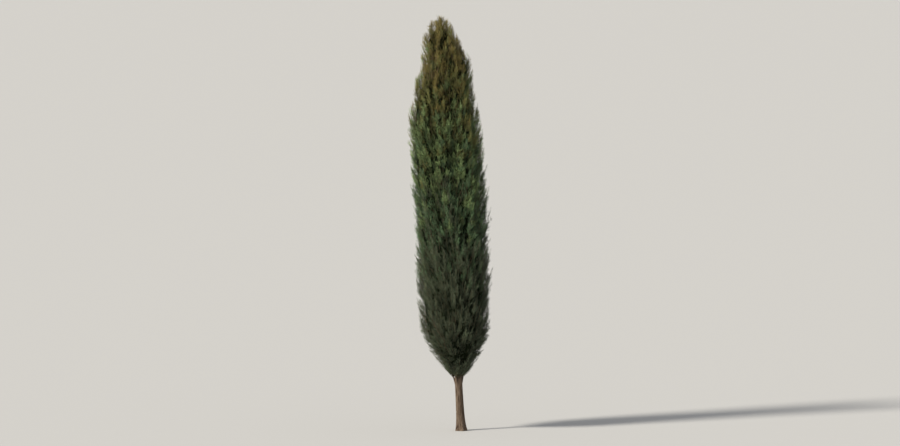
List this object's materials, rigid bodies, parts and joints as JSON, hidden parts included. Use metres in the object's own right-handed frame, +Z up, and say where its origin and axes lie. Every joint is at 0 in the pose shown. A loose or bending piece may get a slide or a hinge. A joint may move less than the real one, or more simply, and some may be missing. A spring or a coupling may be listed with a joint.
{
  "type": "pencil cypress tree",
  "caption": "Tall narrow evergreen tree: a slender, slightly leaning trunk under a dense column of upright sprays, rounded at its foot and bluntly pointed at its top.",
  "frame": {"origin": "middle of the trunk's flat cut at ground level", "axes": "+Z straight up from the ground; the tree's tip leans 0.53 m towards -X"},
  "size_m": [2.1716, 1.9872, 10.5],
  "materials": {
    "bark": "matt grey-brown bark in shallow upright strips",
    "foliage": "matt dark olive-green sprays of scale leaves"
  },
  "bodies": {
    "root": {"trunk": "bark", "bough_foot_1": "bark", "bough_foot_2": "bark", "bough_foot_3": "bark", "bough_foot_4": "bark", "bough_foot_5": "bark", "bough_lower_1": "bark", "bough_lower_2": "bark", "bough_lower_3": "bark", "bough_lower_4": "bark", "bough_lower_5": "bark", "bough_lower_6": "bark", "bough_middle_1": "bark", "bough_middle_2": "bark", "bough_middle_3": "bark", "bough_middle_4": "bark", "bough_middle_5": "bark", "bough_middle_6": "bark", "bough_upper_1": "bark", "bough_upper_2": "bark", "bough_upper_3": "bark", "bough_upper_4": "bark", "bough_upper_5": "bark", "bough_top_1": "bark", "bough_top_2": "bark", "bough_top_3": "bark", "bough_top_4": "bark", "foliage_foot_1": "foliage", "foliage_foot_2": "foliage", "foliage_foot_3": "foliage", "foliage_foot_4": "foliage", "foliage_foot_5": "foliage", "foliage_lower_1": "foliage", "foliage_lower_2": "foliage", "foliage_lower_3": "foliage", "foliage_lower_4": "foliage", "foliage_lower_5": "foliage", "foliage_lower_6": "foliage", "foliage_middle_1": "foliage", "foliage_middle_2": "foliage", "foliage_middle_3": "foliage", "foliage_middle_4": "foliage", "foliage_middle_5": "foliage", "foliage_middle_6": "foliage", "foliage_upper_1": "foliage", "foliage_upper_2": "foliage", "foliage_upper_3": "foliage", "foliage_upper_4": "foliage", "foliage_upper_5": "foliage", "foliage_top_1": "foliage", "foliage_top_2": "foliage", "foliage_top_3": "foliage", "foliage_top_4": "foliage", "foliage_tip": "foliage"}
  },
  "joints": []
}
